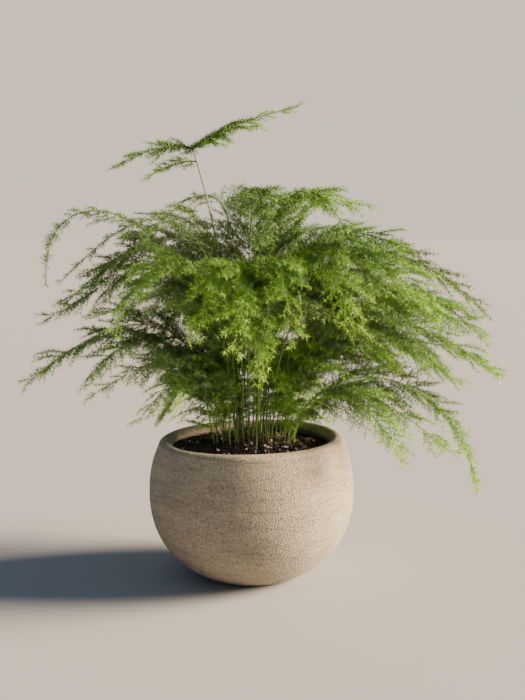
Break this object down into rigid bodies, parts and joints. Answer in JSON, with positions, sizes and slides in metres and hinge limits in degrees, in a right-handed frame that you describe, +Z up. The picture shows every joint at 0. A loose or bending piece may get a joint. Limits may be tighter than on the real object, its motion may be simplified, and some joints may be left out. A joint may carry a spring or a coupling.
{
  "type": "potted asparagus fern",
  "caption": "Lace asparagus fern in a rounded matte stoneware bowl: flat feathery sprays in tiers on thin arching stems, over dark potting soil.",
  "frame": {"origin": "centre of the pot's flat base, on the surface that it stands on", "axes": "+Z up, +X to the right and +Y away from the viewer in the picture's view"},
  "size_m": [0.4534, 0.336, 0.4528],
  "materials": {
    "stoneware": "matte",
    "soil": "matte",
    "fresh_green": "satin",
    "mature_green": "satin",
    "perlite": "matte",
    "bark": "matte"
  },
  "bodies": {
    "root": {"bark_1": "bark", "bark_2": "bark", "frond_01": "mature_green", "frond_02": "mature_green", "frond_03": "mature_green", "frond_04": "mature_green", "frond_05": "mature_green", "frond_06": "mature_green", "frond_07": "mature_green", "frond_08": "mature_green", "frond_09": "mature_green", "frond_10": "mature_green", "frond_11": "mature_green", "frond_12": "mature_green", "frond_13": "mature_green", "frond_14": "mature_green", "frond_15": "fresh_green", "frond_16": "mature_green", "frond_17": "fresh_green", "frond_18": "fresh_green", "frond_19": "fresh_green", "frond_20": "fresh_green", "frond_21": "fresh_green", "frond_22": "fresh_green", "frond_23": "fresh_green", "frond_24": "fresh_green", "frond_25": "fresh_green", "frond_26": "fresh_green", "frond_27": "fresh_green", "frond_28": "fresh_green", "frond_29": "fresh_green", "frond_30": "fresh_green", "frond_31": "fresh_green", "frond_32": "fresh_green", "frond_33": "fresh_green", "frond_34": "mature_green", "frond_35": "fresh_green", "frond_36": "fresh_green", "frond_37": "fresh_green", "frond_38": "mature_green", "frond_39": "fresh_green", "frond_40": "fresh_green", "frond_41": "mature_green", "frond_42": "mature_green", "frond_43": "mature_green", "frond_44": "mature_green", "frond_45": "mature_green", "frond_46": "mature_green", "frond_47": "mature_green", "frond_48": "mature_green", "frond_49": "mature_green", "frond_tall": "fresh_green", "perlite_1": "perlite", "perlite_2": "perlite", "pot": "stoneware", "shoot_1": "fresh_green", "shoot_2": "fresh_green", "shoot_3": "fresh_green", "shoot_4": "fresh_green", "soil": "soil"}
  },
  "joints": []
}
